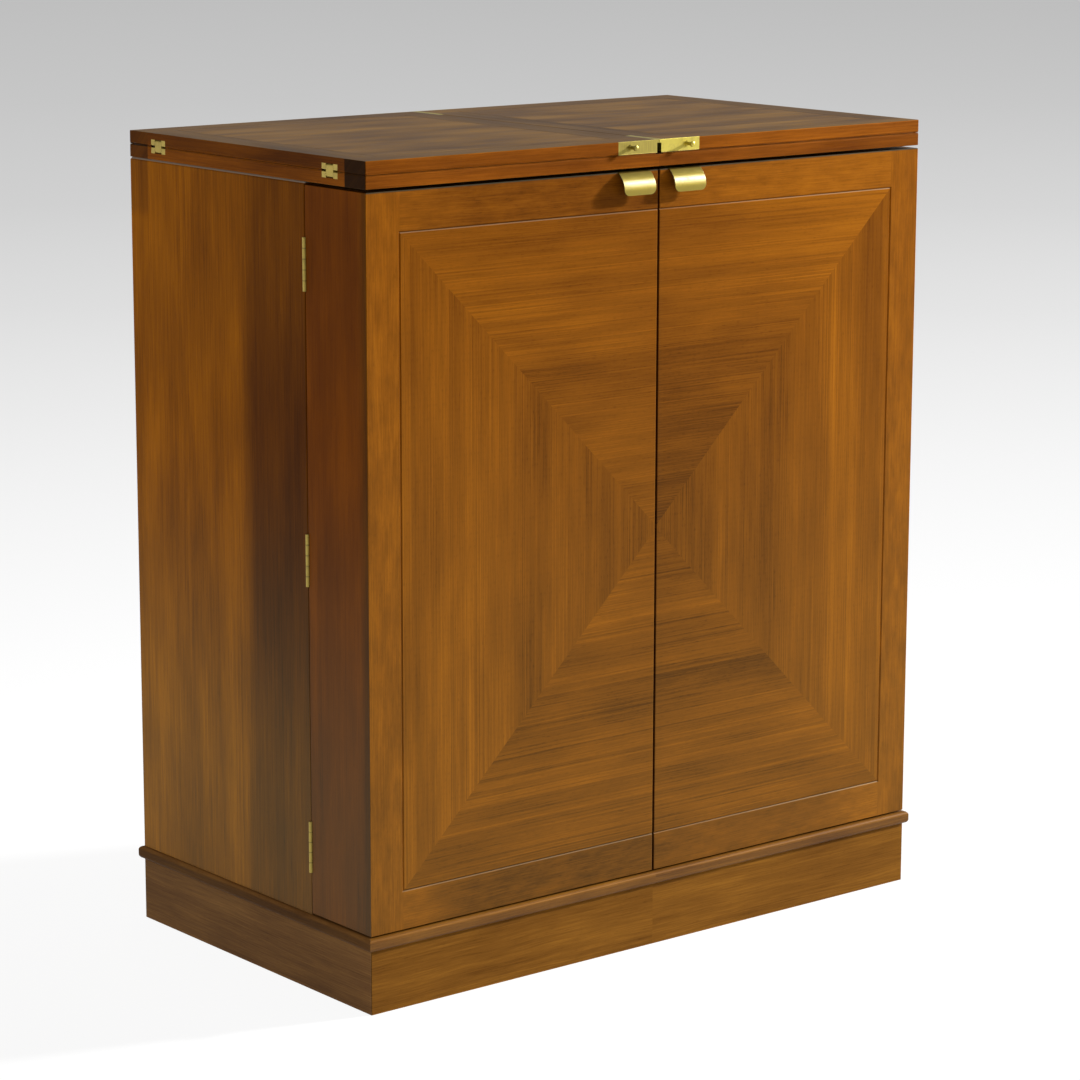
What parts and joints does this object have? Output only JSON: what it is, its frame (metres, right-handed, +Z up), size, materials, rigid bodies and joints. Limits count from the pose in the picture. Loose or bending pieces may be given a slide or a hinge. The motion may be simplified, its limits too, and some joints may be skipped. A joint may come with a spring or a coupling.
{
  "type": "bar cabinet with fold-out top",
  "caption": "Free-standing wooden bar cabinet with deep box doors that hold bottles and a top whose leaves fold out sideways into a long serving counter.",
  "frame": {"origin": "on the floor at the centre of the plinth, under the plinth bearer", "axes": "+X to the right along the front, +Y from the doors to the back panel, +Z up; the door fronts face -Y"},
  "size_m": [0.8912, 0.5118, 1.016],
  "materials": {
    "door_veneer": "satin quartered veneer, amber brown",
    "side_veneer": "satin striped veneer, red brown",
    "top_veneer": "satin veneer, grey brown",
    "top_border_wood": "satin solid border, amber brown with dark end grain",
    "plinth_wood": "satin, brown",
    "interior_wood": "matt, brown",
    "brass": "satin lacquered",
    "steel": "plain zinc-plated",
    "catch_plastic": "dark brown moulded"
  },
  "bodies": {
    "cabinet": {"adjustable_shelf": "interior_wood", "back_panel": "side_veneer", "base_deck": "plinth_wood", "base_moulding_back": "plinth_wood", "base_moulding_front": "plinth_wood", "base_moulding_sides": "plinth_wood", "carcass_left_side": "side_veneer", "carcass_right_side": "side_veneer", "carcass_top": "interior_wood", "door_hinge_carcass_leaves": "brass", "door_hinge_pins": "brass", "fixed_shelf": "interior_wood", "leaf_hinge_base_plates": "brass", "magnetic_catch": "catch_plastic", "plinth_back": "plinth_wood", "plinth_bearer": "plinth_wood", "plinth_front": "plinth_wood", "plinth_left": "plinth_wood", "plinth_right": "plinth_wood", "serving_top_panel": "top_veneer", "serving_top_rails": "top_border_wood", "serving_top_stiles": "top_border_wood", "shelf_pins": "brass", "top_spacers": "interior_wood"},
    "left_door": {"left_door_bottom": "interior_wood", "left_door_guard_rails": "brass", "left_door_hinge_leaves": "brass", "left_door_inner_side": "interior_wood", "left_door_outer_side": "side_veneer", "left_door_panel": "door_veneer", "left_door_pull": "brass", "left_door_shelves": "interior_wood", "left_door_strike": "steel", "left_door_top": "interior_wood"},
    "right_door": {"right_door_bottom": "interior_wood", "right_door_guard_rails": "brass", "right_door_hinge_leaves": "brass", "right_door_inner_side": "interior_wood", "right_door_outer_side": "side_veneer", "right_door_panel": "door_veneer", "right_door_pull": "brass", "right_door_shelves": "interior_wood", "right_door_strike": "steel", "right_door_top": "interior_wood"},
    "left_hinge_links": {"left_leaf_hinge_links": "brass", "left_leaf_hinge_pins": "brass"},
    "left_leaf": {"left_leaf_corner_plates": "brass", "left_leaf_hinge_plates": "brass", "left_leaf_knob": "brass", "left_leaf_panel": "top_veneer", "left_leaf_rails": "top_border_wood", "left_leaf_stiles": "top_border_wood"},
    "right_hinge_links": {"right_leaf_hinge_links": "brass", "right_leaf_hinge_pins": "brass"},
    "right_leaf": {"right_leaf_corner_plates": "brass", "right_leaf_hinge_plates": "brass", "right_leaf_knob": "brass", "right_leaf_panel": "top_veneer", "right_leaf_rails": "top_border_wood", "right_leaf_stiles": "top_border_wood"}
  },
  "joints": [
    {"name": "left_door_swing", "type": "hinge", "parent": "cabinet", "child": "left_door", "pos_m": [-0.4405, -0.1258, 0.5383], "axis": [0, 0, -1], "range_deg": [0, 180]},
    {"name": "left_link_turn", "type": "hinge", "parent": "cabinet", "child": "left_hinge_links", "pos_m": [-0.4366, 0, 0.99505], "axis": [0, -1, 0], "range_deg": [0, 90]},
    {"name": "left_leaf_turn", "type": "hinge", "parent": "left_hinge_links", "child": "left_leaf", "pos_m": [-0.4366, 0, 1.00425], "axis": [0, -1, 0], "range_deg": [0, 90]},
    {"name": "right_door_swing", "type": "hinge", "parent": "cabinet", "child": "right_door", "pos_m": [0.4405, -0.1258, 0.5383], "axis": [0, 0, 1], "range_deg": [0, 180]},
    {"name": "right_link_turn", "type": "hinge", "parent": "cabinet", "child": "right_hinge_links", "pos_m": [0.4366, 0, 0.99505], "axis": [0, 1, 0], "range_deg": [0, 90]},
    {"name": "right_leaf_turn", "type": "hinge", "parent": "right_hinge_links", "child": "right_leaf", "pos_m": [0.4366, 0, 1.00425], "axis": [0, 1, 0], "range_deg": [0, 90]}
  ]
}
